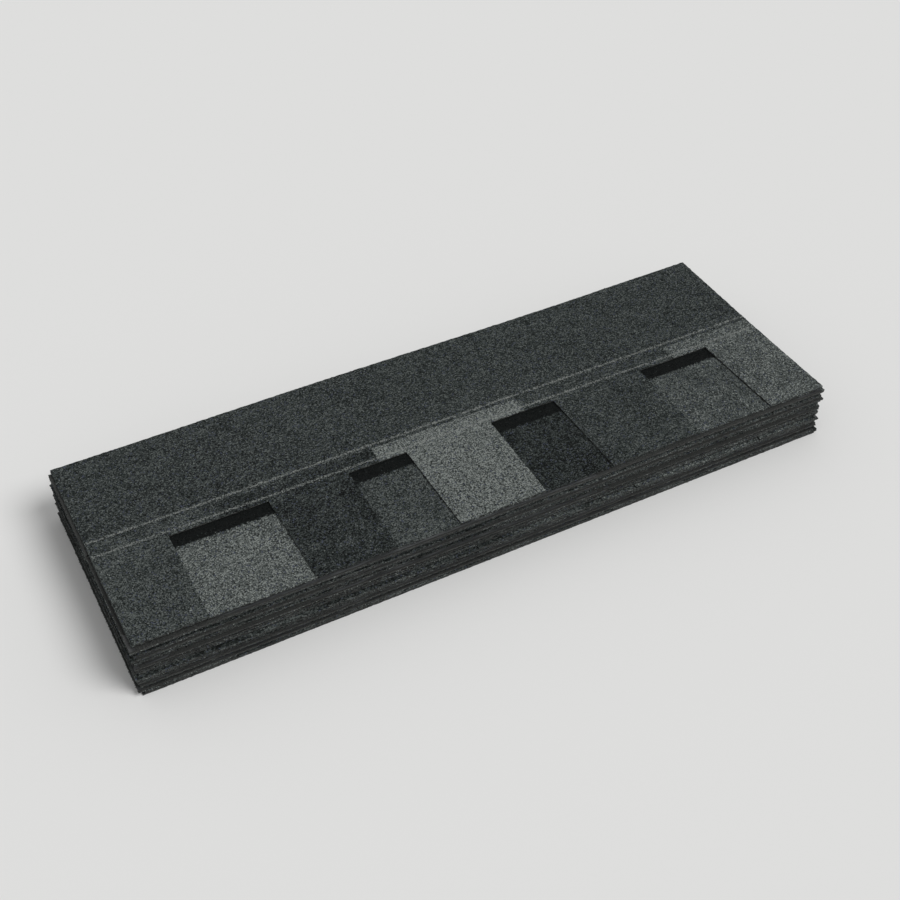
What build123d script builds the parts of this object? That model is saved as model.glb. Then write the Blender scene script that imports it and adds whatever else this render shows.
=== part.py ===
from build123d import *
import math
import os

# A bare bundle of laminated asphalt shingles, lying flat with its resting face on Z = 0 and the
# origin at the centre of that face. X runs along the shingles and Z is up. All sizes are in
# millimetres.

# One shingle: its height follows from what is exposed and how the bundle is nested
LENGTH = 1000.0
EXPOSURE = 143.0
FRONT_PLY = 2.3
BACK_PLY = 2.3

# Teeth and slots of the front layer: the slots reach a little higher than the exposed part, so
# that the course above covers their roots
SLOT_COVER = 6.0
NARROWEST_RUN = 78.0
WIDEST_RUN = 140.0
RUNS = 9
TOOTH_TAPER = 1.5
GOLDEN_STEP = (math.sqrt(5.0) - 1.0) / 2.0

# Back layer: how far it laps the front layer above the slots
LAMINATE_LAP = 16.0

# Sealant dashes under the butt edge, and the film that keeps them from sticking in the bundle
SEALANT_HEIGHT = 0.7
SEALANT_WIDTH = 13.0
SEALANT_DASH = 55.0
SEALANT_SPACE = 25.0
SEALANT_INSET = 10.0
FILM_THICKNESS = 0.1
FILM_MARGIN = 8.0

# The bundle: shingles lie in pairs, back to back, with their back layers side by side on one
# level, and each shingle is a little out of line
PAIRS = 11
NEST_CLEARANCE = 1.0
JOG_ALONG = 4.5
JOG_ACROSS = 3.0
JOG_STEP = 2.4

# Worked out from the sizes above: a shingle is as high as its pair's two back layers side by side,
# with room for both to be out of line
SLOT_DEPTH = EXPOSURE + SLOT_COVER
BACK_HEIGHT = SLOT_DEPTH + LAMINATE_LAP
HEIGHT = 2.0 * (BACK_HEIGHT + JOG_ACROSS) + NEST_CLEARANCE
BACK_TO_BACK = SEALANT_HEIGHT + FILM_THICKNESS
PAIR_HEIGHT = 2.0 * FRONT_PLY + BACK_PLY + BACK_TO_BACK
BUTT_EDGE = -HEIGHT / 2.0
HEAD_EDGE = HEIGHT / 2.0
LEFT_END = -LENGTH / 2.0
RIGHT_END = LENGTH / 2.0


def run_widths(pair):
    """Widths, left to right, of the teeth and slots that one zigzag cut leaves in a pair's sheet."""
    shares = [(GOLDEN_STEP * (RUNS * pair + run + 1)) % 1.0 for run in range(RUNS)]
    widths = [NARROWEST_RUN + share * (WIDEST_RUN - NARROWEST_RUN) for share in shares]
    return [width * LENGTH / sum(widths) for width in widths]


def toothed_outline(widths, first_is_tooth):
    """Corners of a front layer: a straight head edge, two square ends and a toothed butt edge."""
    corners = [(RIGHT_END, HEAD_EDGE), (LEFT_END, HEAD_EDGE)]
    start = LEFT_END
    for run, width in enumerate(widths):
        is_tooth = (run % 2 == 0) == first_is_tooth
        edge = BUTT_EDGE if is_tooth else BUTT_EDGE + SLOT_DEPTH
        left = start if run == 0 else start + TOOTH_TAPER / 2.0
        right = RIGHT_END if run == len(widths) - 1 else start + width - TOOTH_TAPER / 2.0
        corners.append((left, edge))
        corners.append((right, edge))
        start += width
    return corners


# A shingle is modelled face up with its butt edge to the front, and Z = 0 is where its two layers
# are laminated together.


def front_layer(widths, first_is_tooth):
    """The full-height layer whose teeth and slots show on a roof."""
    outline = Polyline(*toothed_outline(widths, first_is_tooth), close=True)
    return extrude(make_face(outline), amount=FRONT_PLY)


def back_layer():
    """The strip laminated behind the teeth, which shows through the slots."""
    strip = Box(LENGTH, BACK_HEIGHT, BACK_PLY, align=(Align.CENTER, Align.MIN, Align.MAX))
    return Pos(0, BUTT_EDGE, 0) * strip


def sealant_dashes():
    """The row of sealant dashes on the back layer's underside, along the butt edge."""
    pitch = SEALANT_DASH + SEALANT_SPACE
    count = int((LENGTH - SEALANT_SPACE) // pitch)
    dash = Box(
        SEALANT_DASH,
        SEALANT_WIDTH,
        SEALANT_HEIGHT,
        align=(Align.CENTER, Align.MIN, Align.MAX),
    )
    row = Pos(0, BUTT_EDGE + SEALANT_INSET, -BACK_PLY)
    return [row * Pos((index - (count - 1) / 2.0) * pitch, 0, 0) * dash for index in range(count)]


def release_film():
    """The film strip on the front layer's underside, where the other shingle's sealant meets it."""
    width = SEALANT_WIDTH + 2.0 * FILM_MARGIN
    strip = Box(LENGTH, width, FILM_THICKNESS, align=(Align.CENTER, Align.MAX, Align.MAX))
    return Pos(0, HEAD_EDGE - SEALANT_INSET + FILM_MARGIN, 0) * strip


def jog(shingle):
    """How far a shingle lies out of line, along and across the bundle."""
    along = JOG_ALONG * math.sin(JOG_STEP * shingle)
    across = JOG_ACROSS * math.cos(JOG_STEP * (shingle + 1) ** 2)
    return along, across


def face_down_place(pair):
    """Place of a pair's lower shingle: rolled over, with its butt edge to the rear."""
    along, across = jog(2 * pair)
    return Location((along, across, pair * PAIR_HEIGHT + FRONT_PLY), (180, 0, 0))


def face_up_place(pair):
    """Place of a pair's upper shingle, nested back to back on the lower one."""
    along, across = jog(2 * pair + 1)
    return Location((along, across, (pair + 1) * PAIR_HEIGHT - FRONT_PLY))


def bundle():
    """Every piece of the bundle, as node name and solids, from the bottom shingle up."""
    nodes = {}
    dashes = []
    films = []
    for pair in range(PAIRS):
        widths = run_widths(pair)
        shingles = (
            (2 * pair + 1, face_down_place(pair), front_layer(widths[::-1], False)),
            (2 * pair + 2, face_up_place(pair), front_layer(widths, True)),
        )
        for number, place, front in shingles:
            nodes[f"shingle_{number:02d}_front_layer"] = [place * front]
            nodes[f"shingle_{number:02d}_back_layer"] = [place * back_layer()]
            dashes += [place * dash for dash in sealant_dashes()]
            films.append(place * release_film())
    nodes["sealant_dashes"] = dashes
    nodes["release_films"] = films
    return nodes


os.makedirs("parts", exist_ok=True)
for name, pieces in bundle().items():
    solids = [solid for piece in pieces for solid in piece.solids()]
    shape = solids[0] if len(solids) == 1 else Compound(solids)
    export_step(shape, f"parts/{name}.step")
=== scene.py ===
"""Looks of a bare bundle of laminated asphalt shingles.

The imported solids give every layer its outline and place. This script copies the layers, roughens
their cut edges, presses real granules into the top shingle and along the rims of the others,
dresses each surface with its own procedural finish, and lets the bundle settle a little. All
lengths are in metres.
"""

import logging
import math
from collections.abc import Callable, Iterator
from contextlib import contextmanager
from dataclasses import dataclass, field
from enum import Enum

import bmesh
import bpy
import numpy as np
from mathutils import Euler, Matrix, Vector


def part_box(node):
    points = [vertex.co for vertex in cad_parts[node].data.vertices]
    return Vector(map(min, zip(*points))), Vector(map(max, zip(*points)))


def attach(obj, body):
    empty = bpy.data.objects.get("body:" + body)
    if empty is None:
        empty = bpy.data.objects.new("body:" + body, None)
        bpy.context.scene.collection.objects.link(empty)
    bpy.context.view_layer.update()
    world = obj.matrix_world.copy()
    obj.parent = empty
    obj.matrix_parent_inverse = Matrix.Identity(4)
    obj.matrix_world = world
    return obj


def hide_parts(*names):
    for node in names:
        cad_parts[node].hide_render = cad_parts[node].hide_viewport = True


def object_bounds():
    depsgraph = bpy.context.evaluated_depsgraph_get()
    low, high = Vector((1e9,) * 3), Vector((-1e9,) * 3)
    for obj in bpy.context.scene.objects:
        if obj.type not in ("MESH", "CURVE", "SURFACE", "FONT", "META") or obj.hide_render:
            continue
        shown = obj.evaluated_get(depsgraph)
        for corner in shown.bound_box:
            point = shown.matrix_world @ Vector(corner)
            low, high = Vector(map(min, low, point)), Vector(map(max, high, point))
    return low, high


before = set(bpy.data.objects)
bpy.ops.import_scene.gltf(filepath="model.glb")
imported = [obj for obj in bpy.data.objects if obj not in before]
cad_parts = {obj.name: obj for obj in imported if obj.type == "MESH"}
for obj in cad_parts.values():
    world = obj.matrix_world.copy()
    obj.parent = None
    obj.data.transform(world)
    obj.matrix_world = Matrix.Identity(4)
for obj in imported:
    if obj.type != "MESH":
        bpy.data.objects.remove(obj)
cad_low, cad_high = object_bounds()

log = logging.getLogger("shingle_bundle")

MM = 0.001
FULL = 255.0  # the highest sRGB level
STEEP = 0.5  # a face is a cut edge's wall if its normal rises or falls by less than this
PLY_LEVEL = "ply_level"
SHINGLES = sum(1 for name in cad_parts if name.endswith("_front_layer"))

Socket = bpy.types.NodeSocket
Material = bpy.types.Material
Piece = bpy.types.Object
Random = np.random.Generator
Span = tuple[float, float]
Levels = tuple[float, float, float]
Colour = tuple[float, float, float, float]


def linear(level: float) -> float:
    """Turns one sRGB level into the linear value that a shader takes."""
    share = level / FULL
    return share / 12.92 if share <= 0.04045 else ((share + 0.055) / 1.055) ** 2.4


def shade(levels: Levels) -> Colour:
    """Turns sRGB levels into a linear colour with full alpha."""
    red, green, blue = levels
    return linear(red), linear(green), linear(blue), 1.0


class Stone(Enum):
    """The crushed stones of the granule blend, by their sRGB levels."""

    JET = (11, 14, 14)
    CHARCOAL = (38, 43, 42)
    SLATE = (64, 69, 68)
    ASH = (91, 96, 94)
    SILVER = (126, 131, 128)
    STEEL_BLUE = (66, 71, 83)

    @property
    def colour(self) -> Colour:
        """Its linear colour."""
        return shade(self.value)

    @property
    def finish(self) -> str:
        """Its material's name."""
        return f"stone {self.name.lower()}"


class Side(Enum):
    """Which way a shingle's granule face looks."""

    UP = 1
    DOWN = -1


@dataclass(frozen=True)
class Blend:
    """How the stones are mixed for a tone, in the same way for real granules and for nodes.

    A granule draws a number within spread of its tone, and limits say which stone that makes it.
    """

    greys: tuple[Stone, ...] = (Stone.JET, Stone.CHARCOAL, Stone.SLATE, Stone.ASH, Stone.SILVER)
    limits: tuple[float, ...] = (30.0, 52.0, 77.0, 105.0)
    spread: float = 30.0
    blue_share: float = 0.05

    def pick(self, tones: np.ndarray, rng: Random) -> np.ndarray:
        """Draws a stone for each granule.

        Args:
            tones: The tone wanted at each granule, as an sRGB level.
            rng: The source of random numbers.

        Returns:
            The index of each granule's stone in the Stone enum.
        """
        drawn = tones + rng.uniform(-self.spread, self.spread, len(tones))
        stones = np.searchsorted(np.array(self.limits), drawn)
        blue = (rng.random(len(tones)) < self.blue_share) & (tones > self.limits[0])
        return np.where(blue, list(Stone).index(Stone.STEEL_BLUE), stones)


@dataclass(frozen=True)
class CourseMap:
    """Where each tone lies on a detailed shingle, measured up from its butt edge."""

    headlap_from: float = 0.176
    headlap_tone: float = 59.0
    shadow_depth: float = 0.024
    shadow_tone: float = 0.0
    shadow_ragged: float = 0.15
    shadow_over: float = 0.02
    guide_lines: tuple[float, ...] = (0.1565, 0.1835)
    guide_width: float = 0.0032
    guide_paint: Levels = (128.0, 131.0, 128.0)
    guide_kept: float = 0.55
    ragged: float = 0.0016
    patch: float = 0.017
    patchiness: float = 9.0


class Tree:
    """Adds and joins the shader nodes of a material or of the world."""

    def __init__(self, owner: Material | bpy.types.World) -> None:
        """Takes up the nodes of a new material or world."""
        owner.use_nodes = True
        self.tree = owner.node_tree

    def add(self, kind: str, inputs: dict | None = None, **settings: object) -> bpy.types.Node:
        """Adds a node.

        Args:
            kind: The node's type.
            inputs: Values or sockets for its inputs, by input name or number.
            settings: Values for its own settings.

        Returns:
            The new node.
        """
        node = self.tree.nodes.new(kind)
        for key, value in settings.items():
            setattr(node, key, value)
        for key, value in (inputs or {}).items():
            self.feed(node.inputs[key], value)
        return node

    def feed(self, target: Socket, value: object) -> None:
        """Joins a socket to an input, or writes a plain value into it.

        Args:
            target: The input.
            value: A socket or a plain value.
        """
        if isinstance(value, bpy.types.NodeSocket):
            self.tree.links.new(value, target)
        else:
            target.default_value = value

    def maths(self, operation: str, *values: object) -> Socket:
        """One step of arithmetic, by the Math node's name for it, on sockets or numbers."""
        return self.add("ShaderNodeMath", dict(enumerate(values)), operation=operation).outputs[0]

    def blend(self, share: Socket, first: object, second: object) -> Socket:
        """Mixes two colours, where share is how much of the second one shows."""
        node = self.add("ShaderNodeMix", {0: share, 6: first, 7: second}, data_type="RGBA")
        return node.outputs[2]


class Nodes(Tree):
    """The nodes of one material, which its finish is made of."""

    def __init__(self, name: str) -> None:
        """Starts a material with one Principled shader.

        Args:
            name: The material's name.
        """
        self.material = bpy.data.materials.new(name)
        super().__init__(self.material)
        self.shader = self.tree.nodes["Principled BSDF"]
        self.place = self.add("ShaderNodeTexCoord").outputs["Object"]

    def rise(self, value: Socket, start: float, end: float, low: float = 0.0, high: float = 1.0) -> Socket:
        """A smooth rise from low to high as a value goes from start to end."""
        inputs = {"Value": value, "From Min": start, "From Max": end, "To Min": low, "To Max": high}
        return self.add("ShaderNodeMapRange", inputs, interpolation_type="SMOOTHSTEP").outputs[0]

    def between(self, share: Socket, first: Socket, second: float) -> Socket:
        """A number that goes from one value to another as share goes from 0 to 1."""
        inputs = {"Value": share, "To Min": first, "To Max": second}
        return self.add("ShaderNodeMapRange", inputs).outputs[0]

    def layered(self, base: Levels, *coats: tuple[Socket, Levels]) -> Socket:
        """Lays coats of colour over one another.

        Args:
            base: The lowest colour.
            coats: How much of each coat shows, and its colour, from the lowest up.

        Returns:
            The colour seen.
        """
        colour = shade(base)
        for share, levels in coats:
            colour = self.blend(share, colour, shade(levels))
        return colour

    def steps(self, value: Socket, stops: list[tuple[float, Colour]]) -> Socket:
        """Turns a number into a colour that jumps at each stop.

        Args:
            value: The number, from 0 to 1.
            stops: Places and linear colours, in order.

        Returns:
            The colour.
        """
        node = self.add("ShaderNodeValToRGB", {"Fac": value})
        node.color_ramp.interpolation = "CONSTANT"
        elements = node.color_ramp.elements
        while len(elements) < len(stops):
            elements.new(1.0)
        for element, (position, colour) in zip(elements, stops):
            element.position = position
            element.color = colour
        return node.outputs["Color"]

    def noise(self, size: float, detail: float = 3.0, place: Socket | None = None) -> Socket:
        """Noise of about 0.5 on average, with features of a given size and finer layers in them."""
        inputs = {"Vector": place or self.place, "Scale": 1.0 / size, "Detail": detail}
        return self.add("ShaderNodeTexNoise", inputs).outputs[0]

    def wander(self, size: float, low: float, high: float, detail: float = 3.0) -> Socket:
        """A value that wanders between low and high, over features of a given size."""
        return self.rise(self.noise(size, detail), 0.3, 0.7, low, high)

    def cells(self, size: float) -> bpy.types.Node:
        """Random cells of about a given size, like packed stones."""
        return self.add("ShaderNodeTexVoronoi", {"Vector": self.place, "Scale": 1.0 / size})

    def stretched(self, along: float, across: float, upright: float) -> Socket:
        """The place on the object, scaled along X, Y and Z for streaks and fibres."""
        inputs = {"Vector": self.place, "Scale": (along, across, upright)}
        return self.add("ShaderNodeMapping", inputs).outputs[0]

    def relief(self, height: Socket, depth: float, strength: float) -> None:
        """Joins a height to the shader's normal, where a height of 1 stands for the depth."""
        inputs = {"Height": height, "Distance": depth, "Strength": strength}
        self.feed(self.shader.inputs["Normal"], self.add("ShaderNodeBump", inputs).outputs[0])

    def finish(self, **values: object) -> Material:
        """Writes the shader's own inputs.

        Args:
            values: Sockets or plain values, by input name with _ for a space.

        Returns:
            The finished material.
        """
        for key, value in values.items():
            self.feed(self.shader.inputs[key.replace("_", " ")], value)
        return self.material


@dataclass(frozen=True)
class GranuleBed:
    """Granules pressed edge to edge into asphalt, as a pattern between the real granules.

    edge and dome are distances from a granule's middle, as shares of its size, between which the
    gap sets in and the granule's top falls away.
    """

    blend: Blend = Blend()
    granule: float = 1.9 * MM
    clump: float = 14.0 * MM
    clumping: float = 0.02
    gap: Levels = (14, 16, 15)
    gap_share: float = 0.85
    edge: Span = (0.5, 0.72)
    dome: Span = (0.15, 0.75)
    height: float = 0.7 * MM
    unevenness: float = 0.45
    strength: float = 0.85

    def coat(self, nodes: Nodes, tone: Socket, relief: bool) -> Socket:
        """The colour of a bed of granules.

        Args:
            nodes: The material's nodes.
            tone: The wanted tone, as a share of the sRGB range.
            relief: Whether the granules also stand out in the material's normal.

        Returns:
            The colour.
        """
        cell = nodes.cells(self.granule)
        parts = nodes.add("ShaderNodeSeparateColor", {"Color": cell.outputs["Color"]})
        drawn, tinted, lift = parts.outputs
        centred = nodes.maths("SUBTRACT", drawn, 0.5)
        level = nodes.maths("MULTIPLY_ADD", centred, 2.0 * self.blend.spread / FULL, tone)
        level = nodes.maths("ADD", level, nodes.wander(self.clump, -self.clumping, self.clumping))
        starts = (0.0, *(limit / FULL for limit in self.blend.limits))
        colour = nodes.steps(level, [(at, stone.colour) for at, stone in zip(starts, self.blend.greys)])
        is_blue = nodes.maths("LESS_THAN", tinted, self.blend.blue_share)
        seen = nodes.maths("GREATER_THAN", tone, self.blend.limits[0] / FULL)
        colour = nodes.blend(nodes.maths("MULTIPLY", is_blue, seen), colour, Stone.STEEL_BLUE.colour)
        off = cell.outputs["Distance"]
        gap = nodes.rise(off, *self.edge, 0.0, self.gap_share)
        colour = nodes.blend(gap, colour, shade(self.gap))
        if relief:
            dome = nodes.rise(off, *self.dome, 1.0, 0.0)
            facet = nodes.maths("MULTIPLY_ADD", lift, self.unevenness, 1.0 - self.unevenness)
            nodes.relief(nodes.maths("MULTIPLY", dome, facet), self.height, self.strength)
        return colour


@dataclass(frozen=True)
class PlainGranules:
    """The granule face of a shingle inside the bundle, seen only at the notches and the rim."""

    name: str = "plain granules"
    tone: float = 62.0
    drop: float = 160.0 * MM
    drift: Span = (-0.06, 0.08)

    def material(self) -> Material:
        """Granules whose tone drifts along the shingle, as the colour drops do.

        Returns:
            The material.
        """
        nodes = Nodes(self.name)
        drift = nodes.rise(nodes.noise(self.drop, 0.0), 0.4, 0.6, *self.drift)
        tone = nodes.maths("ADD", drift, self.tone / FULL)
        colour = GranuleBed().coat(nodes, tone, relief=False)
        return nodes.finish(Base_Color=colour, Roughness=0.88, Specular_IOR_Level=0.2)


@dataclass(frozen=True)
class CourseGranules:
    """The granule face of a detailed layer: a tone for each tooth or slot, and the headlap.

    A back layer, for which shadow_at says where the slots end, has a dark band there. A front
    layer has None, and the painted guide lines.
    """

    name: str
    side: Side
    butt: float
    joints: tuple[float, ...]
    tones: tuple[float, ...]
    map: CourseMap
    shadow_at: float | None
    sway_size: float = 3.0 * MM
    sway_share: float = 5.0
    patch: float = 45.0 * MM
    patchiness: float = 0.025
    roughness: Span = (0.78, 0.94)
    wear: float = 2.2 * MM
    paint_left: float = 0.8

    def material(self) -> Material:
        """Lays the tones out in the order in which the machine drops them.

        Returns:
            The material.
        """
        nodes = Nodes(self.name)
        x, y, _ = nodes.add("ShaderNodeSeparateXYZ", {"Vector": nodes.place}).outputs
        reach = self.sway_share * self.map.ragged
        sway = nodes.maths("MULTIPLY_ADD", nodes.noise(self.sway_size), reach, -reach / 2.0)
        along = nodes.maths("ADD", x, sway)
        climb = nodes.maths("MULTIPLY", nodes.maths("SUBTRACT", y, self.butt), float(self.side.value))
        climb = nodes.maths("ADD", climb, sway)
        tone = self.tab_tone(nodes, along)
        tone = nodes.maths("ADD", tone, nodes.wander(self.patch, -self.patchiness, self.patchiness))
        above = nodes.maths("GREATER_THAN", climb, self.map.headlap_from)
        tone = nodes.between(above, tone, self.map.headlap_tone / FULL)
        if self.shadow_at is not None:
            start = self.shadow_at - self.map.shadow_depth
            end = start + self.map.shadow_ragged * self.map.shadow_depth
            tone = nodes.between(nodes.rise(climb, start, end), tone, self.map.shadow_tone / FULL)
        colour = GranuleBed().coat(nodes, tone, relief=True)
        if self.shadow_at is None:
            colour = self.guides(nodes, climb, colour)
        rough = nodes.wander(6.0 * MM, *self.roughness)
        return nodes.finish(Base_Color=colour, Roughness=rough, Specular_IOR_Level=0.1)

    def tab_tone(self, nodes: Nodes, along: Socket) -> Socket:
        """The tone of the tooth or slot at a place along the shingle.

        Args:
            nodes: The material's nodes.
            along: The place along X.

        Returns:
            The tone, as a share of the sRGB range.
        """
        left, right = self.joints[0], self.joints[-1]
        inputs = {"Value": along, "From Min": left, "From Max": right}
        share = nodes.add("ShaderNodeMapRange", inputs).outputs[0]
        starts = [(joint - left) / (right - left) for joint in self.joints[:-1]]
        stops = [(start, (tone / FULL,) * 3 + (1.0,)) for start, tone in zip(starts, self.tones)]
        return nodes.steps(share, stops)

    def guides(self, nodes: Nodes, climb: Socket, colour: Socket) -> Socket:
        """Thin worn paint lines that show where the nails go.

        Args:
            nodes: The material's nodes.
            climb: The distance up from the butt edge.
            colour: The granules' colour.

        Returns:
            The colour with its lines.
        """
        kept = nodes.rise(nodes.noise(self.wear, 2.0), 0.42, 0.56, 0.0, self.paint_left)
        paint = shade(self.map.guide_paint)
        for line in self.map.guide_lines:
            off = nodes.maths("ABSOLUTE", nodes.maths("SUBTRACT", climb, line))
            on = nodes.maths("LESS_THAN", off, self.map.guide_width / 2.0)
            colour = nodes.blend(nodes.maths("MULTIPLY", on, kept), colour, paint)
        return colour


@dataclass(frozen=True)
class CutEdge:
    """A cut edge, from the sanded back through asphalt, glass mat and asphalt to the granules.

    Heights are shares of the ply's own. The lighter streaks on the asphalt are a painted sheen, and
    sheen_streaks says how many there are to a metre along, across and up.
    """

    name: str
    relief: bool
    asphalt: Levels = (15, 16, 16)
    # the colour of the painted sheen: lighter streaks over the black asphalt
    painted_sheen: Levels = (40, 41, 40)
    filler: Levels = (84, 86, 82)
    fibre: Levels = (104, 106, 103)
    sand: Levels = (68, 68, 65)
    sand_below: float = 0.1
    sand_share: float = 0.8
    mat_at: float = 0.4
    mat_half: float = 0.07
    granules_above: float = 0.72
    granule_tone: float = 60.0
    drop: float = 90.0 * MM
    drift: Span = (-0.09, 0.11)
    drop_height: float = 4.0 * MM
    waver: float = 0.13
    sheen_streaks: tuple[float, float, float] = (160.0, 160.0, 900.0)

    def material(self) -> Material:
        """Draws the layers by the height in the ply that each point of the edge was given.

        Returns:
            The material.
        """
        nodes = Nodes(self.name)
        level = nodes.add("ShaderNodeAttribute", attribute_name=PLY_LEVEL).outputs["Fac"]
        level = nodes.maths("ADD", level, nodes.wander(7.0 * MM, -self.waver, self.waver, detail=4.0))
        # painted sheen: thin lighter streaks along the edge stand in for the asphalt's gloss
        sheen_share = nodes.rise(nodes.noise(1.0, 4.0, nodes.stretched(*self.sheen_streaks)), 0.42, 0.66)
        specks = nodes.rise(nodes.noise(0.8 * MM, 2.0), 0.6, 0.7, 0.0, 0.8)
        off = nodes.maths("ABSOLUTE", nodes.maths("SUBTRACT", level, self.mat_at))
        fibre = nodes.rise(nodes.noise(3.5 * MM, 5.0), 0.44, 0.54, 0.0, 0.75)
        fibre = nodes.maths("MULTIPLY", fibre, nodes.maths("LESS_THAN", off, self.mat_half))
        sand = nodes.maths("MULTIPLY", nodes.maths("LESS_THAN", level, self.sand_below), self.sand_share)
        coats = ((sheen_share, self.painted_sheen), (specks, self.filler), (fibre, self.fibre), (sand, self.sand))
        crusted = nodes.maths("GREATER_THAN", level, self.granules_above)
        colour = nodes.blend(crusted, nodes.layered(self.asphalt, *coats), self.crust(nodes))
        return nodes.finish(Base_Color=colour, Roughness=0.74, Specular_IOR_Level=0.3)

    def crust(self, nodes: Nodes) -> Socket:
        """Cut granules, whose tone drifts along the edge and from layer to layer.

        Args:
            nodes: The material's nodes.

        Returns:
            The colour.
        """
        drops = nodes.stretched(1.0 / self.drop, 1.0 / self.drop, 1.0 / self.drop_height)
        drift = nodes.rise(nodes.noise(1.0, 0.0, drops), 0.35, 0.65, *self.drift)
        tone = nodes.maths("ADD", drift, self.granule_tone / FULL)
        return GranuleBed().coat(nodes, tone, self.relief)


@dataclass(frozen=True)
class DustedBack:
    """The back of a shingle: asphalt dusted with fine sand, so that it doesn't stick."""

    name: str = "sand dusted back"
    bare: Levels = (24, 25, 25)
    sand: Levels = (64, 66, 64)
    rubbed: Levels = (40, 41, 40)

    def material(self) -> Material:
        """Fine sand over black, rubbed even in broad patches.

        Returns:
            The material.
        """
        nodes = Nodes(self.name)
        sand = nodes.rise(nodes.noise(0.8 * MM), 0.42, 0.62)
        drift = nodes.rise(nodes.noise(60.0 * MM), 0.35, 0.7, 0.0, 0.35)
        colour = nodes.layered(self.bare, (sand, self.sand), (drift, self.rubbed))
        return nodes.finish(Base_Color=colour, Roughness=0.8, Specular_IOR_Level=0.25)


@dataclass(frozen=True)
class SealantGloss:
    """Soft black asphalt sealant."""

    name: str = "asphalt sealant"
    skin: Levels = (14, 14, 15)
    dull: Levels = (30, 30, 31)

    def material(self) -> Material:
        """Nearly black, with a skin that is duller in places.

        Returns:
            The material.
        """
        nodes = Nodes(self.name)
        bloom = nodes.rise(nodes.noise(5.0 * MM), 0.4, 0.7)
        colour = nodes.layered(self.skin, (bloom, self.dull))
        return nodes.finish(Base_Color=colour, Roughness=0.38, Specular_IOR_Level=0.5)


@dataclass(frozen=True)
class FilmGloss:
    """Thin clear film over dark asphalt.

    wrinkles says how many there are to a metre along, across and up.
    """

    name: str = "release film"
    smooth: Levels = (44, 45, 46)
    wrinkled: Levels = (72, 74, 75)
    wrinkles: tuple[float, float, float] = (40.0, 400.0, 1.0)

    def material(self) -> Material:
        """The asphalt's grey through a clear skin, with faint wrinkles along the strip.

        Returns:
            The material.
        """
        nodes = Nodes(self.name)
        wrinkle = nodes.rise(nodes.noise(1.0, 3.0, nodes.stretched(*self.wrinkles)), 0.35, 0.7)
        colour = nodes.layered(self.smooth, (wrinkle, self.wrinkled))
        return nodes.finish(Base_Color=colour, Roughness=0.36, Specular_IOR_Level=0.5)


@dataclass(frozen=True)
class StoneFinish:
    """One crushed stone. Its granules share a colour, and the blend of stones makes the pattern."""

    stone: Stone
    facet: float = 2.5 * MM
    glint: Span = (0.02, 0.4)

    def material(self) -> Material:
        """Ceramic-coated stone, nearly matt, with a glint on some granules.

        Returns:
            The material.
        """
        nodes = Nodes(self.stone.finish)
        glint = nodes.rise(nodes.cells(self.facet).outputs["Color"], 0.5, 0.95, *self.glint)
        return nodes.finish(Base_Color=self.stone.colour, Roughness=0.7, Specular_IOR_Level=glint)


def select_none() -> None:
    """Deselects everything."""
    bpy.ops.object.select_all(action="DESELECT")


def select_alone(*pieces: Piece) -> None:
    """Selects some objects, with the first one active, and nothing else.

    Args:
        pieces: The objects.
    """
    select_none()
    for piece in pieces:
        piece.select_set(True)
    bpy.context.view_layer.objects.active = pieces[0]


@contextmanager
def editing(piece: Piece) -> Iterator[None]:
    """Puts one object alone in edit mode, with its whole mesh selected.

    Args:
        piece: The object.
    """
    select_alone(piece)
    bpy.ops.object.mode_set(mode="EDIT")
    bpy.ops.mesh.select_all(action="SELECT")
    try:
        yield
    finally:
        bpy.ops.object.mode_set(mode="OBJECT")


def choose(piece: Piece, kind: str, wanted: Callable[..., bool]) -> int:
    """Selects the edges or vertices of the mesh in edit mode that pass a test.

    Args:
        piece: The object in edit mode.
        kind: EDGE or VERT.
        wanted: The test.

    Returns:
        How many were selected.
    """
    bpy.ops.mesh.select_mode(type=kind)
    bpy.ops.mesh.select_all(action="DESELECT")
    mesh = bmesh.from_edit_mesh(piece.data)
    parts = [part for part in (mesh.edges if kind == "EDGE" else mesh.verts) if wanted(part)]
    for part in parts:
        part.select = True
    mesh.select_flush_mode()
    bmesh.update_edit_mesh(piece.data)
    return len(parts)


def copied(node: str) -> Piece:
    """Copies a solid into a new piece with no material.

    Args:
        node: The solid's node.

    Returns:
        The piece, whose mesh is still loose triangles.
    """
    piece = bpy.data.objects.new(node + "_look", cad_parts[node].data.copy())
    bpy.context.scene.collection.objects.link(piece)
    piece.data.materials.clear()
    return piece


def merge_triangles() -> None:
    """Joins the loose triangles selected in edit mode into whole faces."""
    bpy.ops.mesh.remove_doubles(threshold=0.001 * MM)
    bpy.ops.mesh.dissolve_limited(angle_limit=math.radians(1.0))


def is_wall(face: bmesh.types.BMFace) -> bool:
    """True for a face of a cut edge."""
    return abs(face.normal.z) < STEEP


def on_rim(part: bmesh.types.BMEdge | bmesh.types.BMVert) -> bool:
    """True for an edge or vertex that a cut edge's wall touches."""
    return any(is_wall(face) for face in part.link_faces)


def coordinates(mesh: bpy.types.Mesh) -> np.ndarray:
    """Reads where a mesh's vertices are.

    Args:
        mesh: The mesh.

    Returns:
        Their places, one row for each.
    """
    points = np.empty(3 * len(mesh.vertices))
    mesh.vertices.foreach_get("co", points)
    return points.reshape(-1, 3)


def layers_of(shingle: int) -> list[str]:
    """The nodes of a shingle's front layer and back layer."""
    return [f"shingle_{shingle:02d}_{part}_layer" for part in ("front", "back")]


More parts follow.
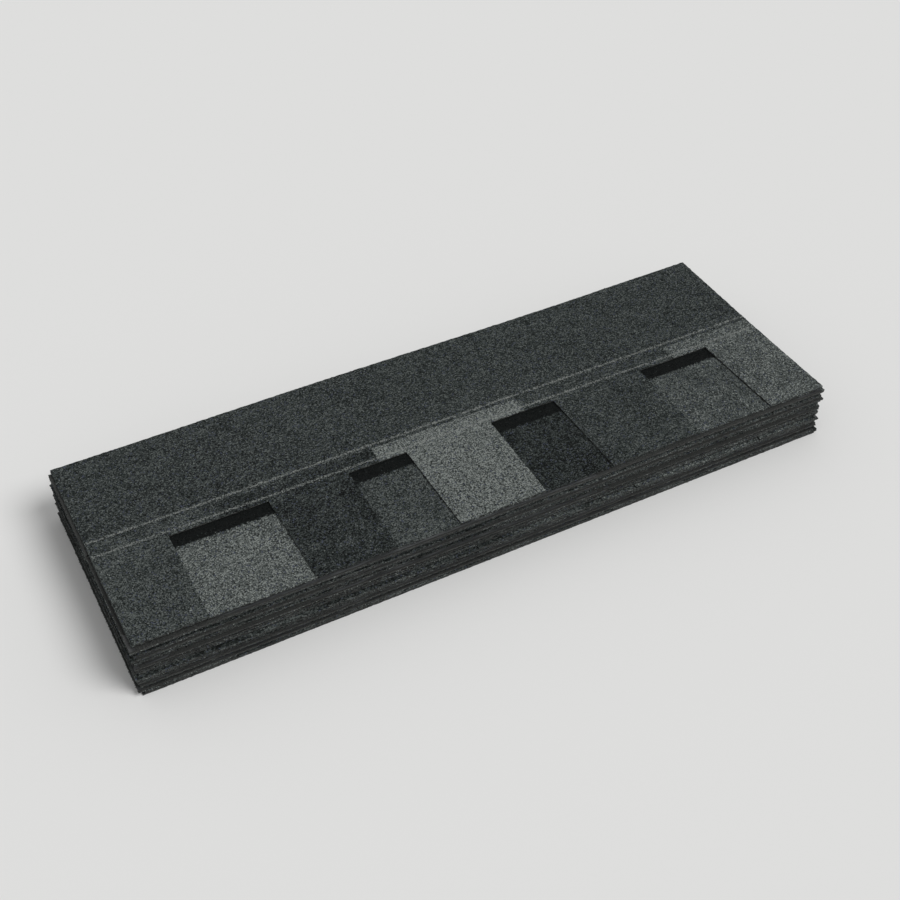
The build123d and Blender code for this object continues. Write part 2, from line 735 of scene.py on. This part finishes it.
@dataclass
class Layer:
    """One layer of one shingle, copied from its solid and worked over."""

    node: str
    side: Side
    ragged: float = 0.35 * MM
    step: float = 7.0 * MM
    grid: float | None = None
    bed: float = 0.0

    def build(self) -> Piece:
        """Copies the solid, divides its rim or its whole face, and roughens the cut.

        Returns:
            The piece, with no material yet.
        """
        piece = copied(self.node)
        self.mark_levels(piece.data)
        shingle = int(self.node.split("_")[1])
        with editing(piece):
            merge_triangles()
            if self.grid:
                self.rule_grid()
            self.divide_rim(piece)
            choose(piece, "VERT", on_rim)
            bpy.ops.transform.vertex_random(offset=self.ragged, uniform=0.6, normal=0.0, seed=shingle)
        self.shape_faces(piece.data)
        return piece

    def mark_levels(self, mesh: bpy.types.Mesh) -> None:
        """Gives each vertex its height in the ply: 0 on the back, 1 on the granule face.

        Args:
            mesh: The copied mesh.
        """
        low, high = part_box(self.node)
        heights = (coordinates(mesh)[:, 2] - low.z) / (high.z - low.z)
        levels = heights if self.side is Side.UP else 1.0 - heights
        mesh.attributes.new(PLY_LEVEL, "FLOAT", "POINT").data.foreach_set("value", levels)

    def shape_faces(self, mesh: bpy.types.Mesh) -> None:
        """Sinks the granule face to the bed of its granules, and lifts what lies below the floor.

        Args:
            mesh: The roughened mesh.
        """
        levels = np.empty(len(mesh.vertices))
        mesh.attributes[PLY_LEVEL].data.foreach_get("value", levels)
        points = coordinates(mesh)
        points[:, 2] -= levels * self.side.value * self.bed
        points[:, 2] = np.maximum(points[:, 2], cad_low.z)
        mesh.vertices.foreach_set("co", points.ravel())
        mesh.update()

    def rule_grid(self) -> None:
        """Rules lines over the layer in edit mode, so that its face can bend."""
        low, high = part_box(self.node)
        for axis, normal in ((0, (1, 0, 0)), (1, (0, 1, 0))):
            lines = round((high[axis] - low[axis]) / self.grid)
            for line in range(1, lines):
                at = low[axis] + line * (high[axis] - low[axis]) / lines
                bpy.ops.mesh.select_all(action="SELECT")
                bpy.ops.mesh.bisect(plane_co=Vector(normal) * at, plane_no=normal)

    def divide_rim(self, piece: Piece) -> None:
        """Halves the rim's edges in edit mode until none is longer than the step.

        Args:
            piece: The object in edit mode.
        """
        def is_long(edge: bmesh.types.BMEdge) -> bool:
            """True for a rim edge that is still too long."""
            return edge.calc_length() > self.step and on_rim(edge)

        while choose(piece, "EDGE", is_long):
            bpy.ops.mesh.subdivide(number_cuts=1)

    def dress(self, piece: Piece, face: Material, edge: Material, back: Material) -> None:
        """Gives the granule face, the cut edges and the back their finishes.

        Args:
            piece: The built layer.
            face: The granule face's material.
            edge: The cut edges' material.
            back: The back's material.
        """
        for material in (face, edge, back):
            piece.data.materials.append(material)
        normals = np.empty(3 * len(piece.data.polygons), np.float32)
        piece.data.polygons.foreach_get("normal", normals)
        facing = normals[2::3] * self.side.value
        slots = np.where(facing > STEEP, 0, np.where(facing < -STEEP, 2, 1)).astype(np.int32)
        piece.data.polygons.foreach_set("material_index", slots)
        piece.data.update()


@dataclass
class Teeth:
    """The cut of a detailed shingle, read from its front layer's solid."""

    node: str
    side: Side
    tip_xs: list[float] = field(init=False)
    root_xs: list[float] = field(init=False)
    butt: float = field(init=False)
    depth: float = field(init=False)

    def __post_init__(self) -> None:
        """Finds the corners of the teeth and of the slots' roots."""
        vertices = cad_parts[self.node].data.vertices
        places = {(round(vertex.co.x, 6), round(vertex.co.y, 6)) for vertex in vertices}
        levels = sorted({y for _, y in places}, reverse=self.side is Side.DOWN)
        self.butt, root = levels[0], levels[1]
        self.depth = abs(root - self.butt)
        self.tip_xs = sorted(x for x, y in places if y == self.butt)
        self.root_xs = sorted(x for x, y in places if y == root)

    def joints(self, corners: list[float]) -> tuple[float, ...]:
        """Where tones meet: the ends, and half-way from the corners of one tooth or slot to the next."""
        low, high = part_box(self.node)
        return (low.x, *((left + right) / 2.0 for left, right in zip(corners[1:-1:2], corners[2::2])), high.x)

    def in_slot(self, xs: np.ndarray, climbs: np.ndarray) -> np.ndarray:
        """Tells which places lie in a slot.

        Args:
            xs: Places along X.
            climbs: Distances up from the butt edge.

        Returns:
            True for each place in a slot.
        """
        share = np.clip(climbs / self.depth, 0.0, 1.0)
        low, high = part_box(self.node)
        inside = np.zeros(len(xs), bool)
        tips = np.array([low.x, *self.tip_xs, high.x])
        for left, right in zip(self.root_xs[::2], self.root_xs[1::2]):
            mouth_left = tips[np.abs(tips - left).argmin()]
            mouth_right = tips[np.abs(tips - right).argmin()]
            start = mouth_left + (left - mouth_left) * share
            end = mouth_right + (right - mouth_right) * share
            inside |= (xs > start) & (xs < end)
        return inside & (climbs < self.depth)


@dataclass
class Settling:
    """A lattice round the whole bundle, which bends the pieces in it as its lift says."""

    rows: tuple[int, int] = (9, 5)
    margin: float = 30.0 * MM

    def lift(self, u: float, v: float, w: float) -> float:
        """How far a place rises, by its shares of the way along, across and up the bundle."""
        raise NotImplementedError

    def press(self, pieces: list[Piece]) -> None:
        """Bends pieces for good, and takes the lattice away again.

        Args:
            pieces: The pieces.
        """
        cage = self.cage()
        for piece in pieces:
            select_alone(piece)
            piece.modifiers.new("settle", "LATTICE").object = cage
            bpy.ops.object.modifier_apply(modifier="settle")
        bpy.data.objects.remove(cage)

    def cage(self) -> Piece:
        """Adds the lattice and moves its points.

        Returns:
            The lattice.
        """
        select_none()
        bpy.ops.object.add(type="LATTICE", location=(cad_low + cad_high) / 2.0)
        cage = bpy.context.active_object
        wide = cad_high - cad_low
        cage.scale = (wide.x + self.margin, wide.y + self.margin, wide.z)
        cage.data.points_u, cage.data.points_v = self.rows
        cage.data.points_w = 2
        cage.data.interpolation_type_w = "KEY_LINEAR"
        for point in cage.data.points:
            u, v, w = (part + 0.5 for part in point.co)
            point.co_deform.z += self.lift(u, v, w) / wide.z
        return cage


@dataclass
class Sag(Settling):
    """How the stacked shingles settle: waves and drooping ends, and a flat side on the floor.

    A turn is in radians from end to end and from side to side.
    """

    wave: float = 0.9 * MM
    wave_turn: Span = (7.0, 3.0)
    wave_start: float = 1.1
    ripple: float = 0.7 * MM
    ripple_turn: Span = (11.0, 4.0)
    droop: float = 1.1 * MM
    droop_power: int = 4

    def lift(self, u: float, v: float, w: float) -> float:
        """How far a place of the bundle rises or sinks.

        Args:
            u: The place along the bundle, from 0 to 1.
            v: The place across it.
            w: The place up it, 0 at the floor.

        Returns:
            The height.
        """
        along, across = self.wave_turn
        wave = self.wave * math.sin(along * u + self.wave_start) * math.cos(across * v)
        along, across = self.ripple_turn
        ripple = self.ripple * math.sin(along * u + across * v)
        return w * (wave + ripple - self.droop * (2.0 * abs(u - 0.5)) ** self.droop_power)


@dataclass
class Curl(Settling):
    """How the top shingle's free corners lift, the rear right one more than the front left one."""

    rear_right: float = 6.5 * MM
    rear_from: Span = (0.72, 0.45)
    front_left: float = 3.5 * MM
    front_to: Span = (0.2, 0.45)

    def lift(self, u: float, v: float, w: float) -> float:
        """How far a place of the top shingle rises.

        Args:
            u: The place along the bundle, from 0 to 1.
            v: The place across it.
            w: Unused, because both faces of the shingle rise together.

        Returns:
            The height.
        """
        rear = math.prod(max(0.0, at - start) / (1.0 - start) for at, start in zip((u, v), self.rear_from))
        front = math.prod(max(0.0, end - at) / end for at, end in zip((u, v), self.front_to))
        return self.rear_right * rear + self.front_left * front


@dataclass
class GranuleMaker:
    """Crushes granules, and joins the ones of each stone into one mesh."""

    name: str
    size: Span
    rng: Random
    tilt: float = 0.25
    steepest: float = 0.45
    chipping: float = 0.22
    corners: np.ndarray = field(init=False)
    faces: np.ndarray = field(init=False)

    def __post_init__(self) -> None:
        """Models two crushed granules of about radius 1, which all the others are copies of."""
        models = (self.flat_chip(), self.pointed_chip())
        self.corners = np.array([coordinates(model.data) for model in models])
        self.faces = np.array(
            [[list(face.vertices) for face in model.data.polygons] for model in models]
        )
        for model in models:
            bpy.data.objects.remove(model)

    def flat_chip(self) -> Piece:
        """A three-sided chip with a flat top.

        Returns:
            The chip.
        """
        select_none()
        bpy.ops.mesh.primitive_cone_add(vertices=3, radius1=1.15, radius2=0.75, depth=1.15)
        return self.crushed(bpy.context.active_object)

    def pointed_chip(self) -> Piece:
        """A four-sided chip, pointed above and below.

        Returns:
            The chip.
        """
        select_none()
        bpy.ops.mesh.primitive_cone_add(
            vertices=4, radius1=1.1, radius2=0.0, depth=0.6, end_fill_type="TRIFAN"
        )
        chip = bpy.context.active_object
        with editing(chip):
            choose(chip, "VERT", lambda vertex: vertex.co.xy.length < 0.01 and vertex.co.z < 0.0)
            bpy.ops.transform.translate(value=(0.0, 0.0, -0.6))
        return self.crushed(chip)

    def crushed(self, chip: Piece) -> Piece:
        """Knocks a chip out of its even shape and divides it into triangles.

        Args:
            chip: The even chip.

        Returns:
            The same object.
        """
        with editing(chip):
            bpy.ops.transform.resize(value=(1.08, 0.9, 1.0))
            bpy.ops.transform.vertex_random(offset=0.15, uniform=1.0, normal=0.0, seed=4)
            bpy.ops.mesh.quads_convert_to_tris()
        return chip

    def build(self, centres: np.ndarray, stones: np.ndarray) -> list[Piece]:
        """Makes one object for each stone, from the granules' centres and stones."""
        return [self.joined(stone, centres[stones == index]) for index, stone in enumerate(Stone)]

    def joined(self, stone: Stone, centres: np.ndarray) -> Piece:
        """Copies, turns, tilts and chips the model granules, and joins the copies.

        Args:
            stone: The stone.
            centres: Where its granules lie.

        Returns:
            The object.
        """
        count = len(centres)
        model = self.rng.integers(0, len(self.corners), count)
        turns = self.rng.uniform(0.0, 2.0 * math.pi, (count, 1))
        tilts = np.clip(self.rng.normal(0.0, self.tilt, (count, 2)), -self.steepest, self.steepest)
        chipped = 1.0 + self.rng.uniform(-self.chipping, self.chipping, (count, *self.corners.shape[1:]))
        own = self.corners[model] * chipped * self.rng.uniform(*self.size, (count, 1, 1))
        x = own[..., 0] * np.cos(turns) - own[..., 1] * np.sin(turns)
        y = own[..., 0] * np.sin(turns) + own[..., 1] * np.cos(turns)
        z = own[..., 2] + x * tilts[:, :1] + y * tilts[:, 1:]
        points = np.stack([x, y, z], axis=-1) + centres[:, None]
        first = np.arange(count) * self.corners.shape[1]
        triangles = self.faces[model] + first[:, None, None]
        mesh = bpy.data.meshes.new(f"{self.name}_{stone.name.lower()}")
        mesh.from_pydata(points.reshape(-1, 3), [], triangles.reshape(-1, 3))
        mesh.materials.append(bpy.data.materials.get(stone.finish))
        piece = bpy.data.objects.new(mesh.name, mesh)
        bpy.context.scene.collection.objects.link(piece)
        return piece


@dataclass
class TopCoat:
    """Real granules on the face and the rim of the top shingle."""

    teeth: Teeth
    map: CourseMap
    front_top: float
    back_top: float
    tooth_tones: tuple[float, ...]
    slot_tones: tuple[float, ...]
    rim_spots: np.ndarray
    pitch: float = 2.35 * MM
    inset: float = 0.3
    jitter: float = 0.45
    size: Span = (0.75 * MM, 1.2 * MM)
    sunk: float = 0.62 * MM
    seed: int = 11
    blend: Blend = Blend()

    def build(self) -> list[Piece]:
        """Scatters the granules and picks a stone for each.

        Returns:
            One piece for each stone.
        """
        rng = np.random.default_rng(self.seed)
        centres = np.concatenate([self.scatter(rng), self.rim_spots])
        climbs = centres[:, 1] - self.teeth.butt
        slot = self.teeth.in_slot(centres[:, 0], climbs)
        stones = self.blend.pick(self.tones(centres[:, 0], climbs, slot, rng), rng)
        return GranuleMaker("face_granules", self.size, rng).build(centres, stones)

    def scatter(self, rng: Random) -> np.ndarray:
        """Places granules over the whole shingle, on an uneven grid.

        Args:
            rng: The source of random numbers.

        Returns:
            Where they lie, one row for each.
        """
        low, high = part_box(self.teeth.node)
        inset = self.inset * self.pitch
        xs = np.arange(low.x + inset, high.x - inset, self.pitch)
        ys = np.arange(low.y + inset, high.y - inset, self.pitch)
        xs, ys = (part.ravel() for part in np.meshgrid(xs, ys))
        xs = xs + rng.uniform(-self.jitter, self.jitter, len(xs)) * self.pitch
        ys = ys + rng.uniform(-self.jitter, self.jitter, len(ys)) * self.pitch
        xs, ys = np.clip(xs, low.x, high.x), np.clip(ys, low.y, high.y)
        slot = self.teeth.in_slot(xs, ys - self.teeth.butt)
        heights = np.where(slot, self.back_top, self.front_top)
        return np.stack([xs, ys, heights - self.sunk], axis=1)

    def tones(
        self, xs: np.ndarray, climbs: np.ndarray, slot: np.ndarray, rng: Random
    ) -> np.ndarray:
        """The tone wanted at each granule, with ragged borders.

        Args:
            xs: Places along X.
            climbs: Distances up from the butt edge.
            slot: True where a granule lies in a slot.
            rng: The source of random numbers.

        Returns:
            The tones, as sRGB levels.
        """
        course = self.map
        xs = xs + rng.normal(0.0, course.ragged, len(xs))
        climbs = climbs + rng.normal(0.0, course.ragged, len(xs))
        tooth = np.searchsorted(self.teeth.joints(self.teeth.tip_xs)[1:-1], xs)
        gap = np.searchsorted(self.teeth.joints(self.teeth.root_xs)[1:-1], xs)
        tones = np.where(slot, np.array(self.slot_tones)[gap], np.array(self.tooth_tones)[tooth])
        tones = np.where(climbs > course.headlap_from, course.headlap_tone, tones)
        tones = tones + self.mottle(xs, climbs, rng)
        ragged = rng.uniform(1.0 - course.shadow_ragged, 1.0 + course.shadow_over, len(xs))
        shadow = slot & (climbs > self.teeth.depth - course.shadow_depth * ragged)
        tones = np.where(shadow, course.shadow_tone, tones)
        for line in course.guide_lines:
            kept = rng.random(len(xs)) < course.guide_kept
            painted = kept & (np.abs(climbs - line) < course.guide_width / 2.0)
            tones = np.where(painted & ~slot, course.guide_paint[0], tones)
        return tones

    def mottle(self, xs: np.ndarray, climbs: np.ndarray, rng: Random) -> np.ndarray:
        """Patches where the granules fell a little lighter or darker than in the rest of a drop.

        Args:
            xs: Places along X.
            climbs: Distances up from the butt edge.
            rng: The source of random numbers.

        Returns:
            How far each granule's tone is off, in sRGB levels.
        """
        across = (xs - xs.min()) / self.map.patch
        up = (climbs - climbs.min()) / self.map.patch
        column, row = across.astype(int), up.astype(int)
        knots = rng.normal(0.0, self.map.patchiness, (row.max() + 2, column.max() + 2))
        u, v = (part * part * (3.0 - 2.0 * part) for part in (across - column, up - row))
        lower = knots[row, column] * (1.0 - u) + knots[row, column + 1] * u
        upper = knots[row + 1, column] * (1.0 - u) + knots[row + 1, column + 1] * u
        return lower * (1.0 - v) + upper * v


@dataclass(frozen=True)
class Rim:
    """The outer rim of a layer, where its granule face meets its cut edges."""

    pitch: float = 2.9 * MM
    below_face: float = 0.75 * MM
    depths: Span = (0.6, 1.4)
    proud: float = 0.1 * MM
    above_floor: float = 1.4 * MM
    near_box: float = 1.5 * MM

    def spots(self, piece: Piece, layer: Layer, rng: Random) -> np.ndarray:
        """Places the granules that the cut lays bare.

        Args:
            piece: The built layer.
            layer: Its description.
            rng: The source of random numbers.

        Returns:
            Where the granules lie, one row for each.
        """
        low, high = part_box(layer.node)
        down = layer.side.value * self.below_face
        placed = []
        mesh = bmesh.new()
        mesh.from_mesh(piece.data)
        for edge in mesh.edges:
            walls = [face for face in edge.link_faces if is_wall(face)]
            faces = [face for face in edge.link_faces if face.normal.z * layer.side.value > STEEP]
            middle = (edge.verts[0].co + edge.verts[1].co) / 2.0
            off = min(middle.x - low.x, high.x - middle.x, middle.y - low.y, high.y - middle.y)
            if len(walls) == 1 and len(faces) == 1 and off < self.near_box:
                start, end = (np.array(vertex.co) for vertex in edge.verts)
                count = rng.poisson(np.linalg.norm(end - start) / self.pitch)
                outward = np.array(walls[0].normal) * self.proud
                row = start + rng.random((count, 1)) * (end - start) + outward
                row[:, 2] -= down * rng.uniform(*self.depths, count)
                placed.append(row)
        mesh.free()
        spots = np.concatenate(placed)
        spots[:, 2] = np.maximum(spots[:, 2], cad_low.z + self.above_floor)
        return spots


@dataclass
class RimGranules:
    """The granules along the rims of all layers below the top shingle."""

    rim: Rim = Rim()
    size: Span = (0.55 * MM, 0.95 * MM)
    drops: int = 11
    tones: Span = (36.0, 92.0)
    seed: int = 23
    blend: Blend = Blend()
    rng: Random = field(init=False)
    centres: list[np.ndarray] = field(default_factory=list)
    wanted: list[np.ndarray] = field(default_factory=list)

    def __post_init__(self) -> None:
        """Starts the random numbers."""
        self.rng = np.random.default_rng(self.seed)

    def follow(self, piece: Piece, layer: Layer) -> None:
        """Sets granules along a layer's rim, in drops that each have their own tone.

        Args:
            piece: The built layer.
            layer: Its description.
        """
        low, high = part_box(layer.node)
        drops = self.rng.uniform(*self.tones, self.drops)
        spots = self.rim.spots(piece, layer, self.rng)
        share = (spots[:, 0] - low.x) / (high.x - low.x)
        self.centres.append(spots)
        self.wanted.append(drops[np.clip((share * self.drops).astype(int), 0, self.drops - 1)])

    def build(self) -> list[Piece]:
        """Picks a stone for each granule and makes them.

        Returns:
            One piece for each stone.
        """
        centres = np.concatenate(self.centres)
        stones = self.blend.pick(np.concatenate(self.wanted), self.rng)
        return GranuleMaker("rim_granules", self.size, self.rng).build(centres, stones)


@dataclass
class Bundle:
    """The whole bundle, from the floor up."""

    map: CourseMap = CourseMap()
    tooth_tones: tuple[float, ...] = (69.0, 49.0, 105.0, 60.0, 89.0)
    slot_tones: tuple[float, ...] = (96.0, 70.0, 43.0, 78.0)
    face_grid: float = 7.0 * MM
    face_step: float = 4.0 * MM
    bed_depth: float = 0.5 * MM
    top_rim: Rim = Rim(proud=-0.2 * MM)
    top_spots: list[np.ndarray] = field(default_factory=list)
    rims: RimGranules = field(default_factory=RimGranules)
    edge: Material = field(init=False)
    face_edge: Material = field(init=False)
    back: Material = field(init=False)
    plain: Material = field(init=False)

    def __post_init__(self) -> None:
        """Makes the finishes that several pieces share."""
        for stone in Stone:
            StoneFinish(stone).material()
        self.edge = CutEdge("cut edge", relief=False).material()
        self.face_edge = CutEdge("cut edge of a face shingle", relief=True).material()
        self.back = DustedBack().material()
        self.plain = PlainGranules().material()

    def build(self) -> None:
        """Builds and dresses every piece, then lets the bundle settle."""
        settled = self.inner_strips()
        settled += self.face_shingle(1, Side.DOWN)
        for shingle in range(2, SHINGLES):
            settled += self.plain_shingle(shingle, Side.UP if shingle % 2 == 0 else Side.DOWN)
        curled = self.face_shingle(SHINGLES, Side.UP)
        curled += self.top_coat()
        rims = self.rims.build()
        for piece in rims:
            self.hand_over(piece, "granule_front")
        Sag().press(settled + rims + curled)
        Curl().press(curled)

    def plain_shingle(self, shingle: int, side: Side) -> list[Piece]:
        """Builds a shingle inside the bundle as one piece.

        Args:
            shingle: Its number.
            side: Which way it faces.

        Returns:
            The piece, in a list.
        """
        nodes = layers_of(shingle)
        layers = []
        for node in nodes:
            layer = Layer(node, side)
            piece = layer.build()
            self.rims.follow(piece, layer)
            layer.dress(piece, self.plain, self.edge, self.back)
            layers.append(piece)
        select_alone(*layers)
        bpy.ops.object.join()
        whole = layers[0]
        whole.name = f"shingle_{shingle:02d}"
        self.hand_over(whole, "granule_front", *nodes)
        return [whole]

    def face_shingle(self, shingle: int, side: Side) -> list[Piece]:
        """Builds the top or the bottom shingle, whose granule face is seen, as two pieces.

        Args:
            shingle: Its number.
            side: Which way it faces.

        Returns:
            The front layer and the back layer.
        """
        front, back = layers_of(shingle)
        teeth = Teeth(front, side)
        looks = (
            (front, "granule_front", teeth.joints(teeth.tip_xs), self.tooth_tones, None),
            (back, "granule_back", teeth.joints(teeth.root_xs), self.slot_tones, teeth.depth),
        )
        on_top = shingle == SHINGLES
        bed = self.bed_depth if on_top else 0.0
        built = []
        for node, slot, joints, tones, shadow in looks:
            finish = CourseGranules(f"{node} granules", side, teeth.butt, joints, tones, self.map, shadow)
            layer = Layer(node, side, step=self.face_step, grid=self.face_grid, bed=bed)
            piece = layer.build()
            if on_top:
                self.top_spots.append(self.top_rim.spots(piece, layer, self.rims.rng))
            else:
                self.rims.follow(piece, layer)
            layer.dress(piece, finish.material(), self.face_edge, self.back)
            self.hand_over(piece, slot, node)
            built.append(piece)
        return built

    def inner_strips(self) -> list[Piece]:
        """Copies the sealant dashes and release films.

        Returns:
            The two pieces.
        """
        strips = (
            ("sealant_dashes", "sealant", SealantGloss()),
            ("release_films", "release_film", FilmGloss()),
        )
        built = []
        for node, slot, finish in strips:
            piece = copied(node)
            piece.data.materials.append(finish.material())
            with editing(piece):
                merge_triangles()
            self.hand_over(piece, slot, node)
            built.append(piece)
        return built

    def top_coat(self) -> list[Piece]:
        """Presses the real granules into the top shingle.

        Returns:
            One piece for each stone.
        """
        nodes = layers_of(SHINGLES)
        teeth = Teeth(nodes[0], Side.UP)
        tops = [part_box(node)[1].z for node in nodes]
        rim = np.concatenate(self.top_spots)
        built = TopCoat(teeth, self.map, *tops, self.tooth_tones, self.slot_tones, rim).build()
        for piece in built:
            self.hand_over(piece, "granule_front")
        return built

    def hand_over(self, piece: Piece, slot: str, *nodes: str) -> None:
        """Makes a piece part of the object.

        Args:
            piece: The finished piece.
            slot: The material slot of the record that it follows; not used.
            nodes: The solids that it stands for.
        """
        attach(piece, "root")
        if nodes:
            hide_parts(*nodes)
        log.info("%s: %d faces", piece.name, len(piece.data.polygons))


def aim(azimuth: float, elevation: float) -> tuple[Vector, Euler]:
    """Where a lamp or the camera stands, seen from the bundle.

    Args:
        azimuth: Degrees from the front, towards the right.
        elevation: Degrees up from the floor.

    Returns:
        The direction towards it, of length 1, and the rotation with which it looks back.
    """
    turn, rise = math.radians(azimuth), math.radians(elevation)
    flat = math.cos(rise)
    toward = Vector((math.sin(turn) * flat, -math.cos(turn) * flat, math.sin(rise)))
    return toward, toward.to_track_quat("Z", "Y").to_euler()


@dataclass
class Studio:
    """A pale floor, soft light and the camera."""

    azimuth: float = -28.0
    elevation: float = 42.0
    distance: float = 1.86
    lens: float = 54.4
    floor_size: float = 60.0
    pale: Levels = (222, 222, 221)
    key_azimuth: float = 38.0
    key_elevation: float = 50.0
    key_softness: float = 32.0
    key_share: float = 0.5

    def build(self) -> None:
        """Sets the stage."""
        self.floor()
        self.key()
        self.sky()
        self.camera()
        bpy.context.scene.view_settings.view_transform = "Standard"

    def floor(self) -> None:
        """A wide pale floor just under the bundle."""
        select_none()
        bpy.ops.mesh.primitive_plane_add(size=self.floor_size)
        floor = bpy.context.active_object
        floor.name = "floor"
        matt = Nodes("pale floor").finish(Base_Color=shade(self.pale), Roughness=1.0, Specular_IOR_Level=0.0)
        floor.data.materials.append(matt)

    def key(self) -> None:
        """One very soft lamp, so far off that it lights the whole floor alike."""
        toward, rotation = aim(self.key_azimuth, self.key_elevation)
        bpy.ops.object.light_add(type="SUN", location=toward, rotation=rotation)
        lamp = bpy.context.active_object
        lamp.name = "key"
        lamp.data.angle = math.radians(self.key_softness)
        lamp.data.energy = math.pi * self.key_share / toward.z

    def sky(self) -> None:
        """Even light from all round, behind which the backdrop is as pale as the floor."""
        world = bpy.data.worlds.new("sky")
        bpy.context.scene.world = world
        nodes = Tree(world)
        path = nodes.add("ShaderNodeLightPath")
        seen = nodes.maths("MAXIMUM", path.outputs["Is Camera Ray"], path.outputs["Is Glossy Ray"])
        share = 1.0 - self.key_share
        tint = nodes.blend(seen, (share, share, share, 1.0), shade(self.pale))
        nodes.feed(nodes.tree.nodes["Background"].inputs["Color"], tint)

    def camera(self) -> None:
        """Looks down on the bundle at the angle at which the roof is seen."""
        toward, rotation = aim(self.azimuth, self.elevation)
        centre = (cad_low + cad_high) / 2.0
        bpy.ops.object.camera_add(location=centre + toward * self.distance, rotation=rotation)
        camera = bpy.context.active_object
        camera.data.lens = self.lens
        bpy.context.scene.camera = camera


def main() -> None:
    """Builds the bundle, then the studio round it."""
    logging.basicConfig(level=logging.INFO, format="%(message)s")
    Bundle().build()
    Studio().build()


if __name__ == "__main__":
    main()
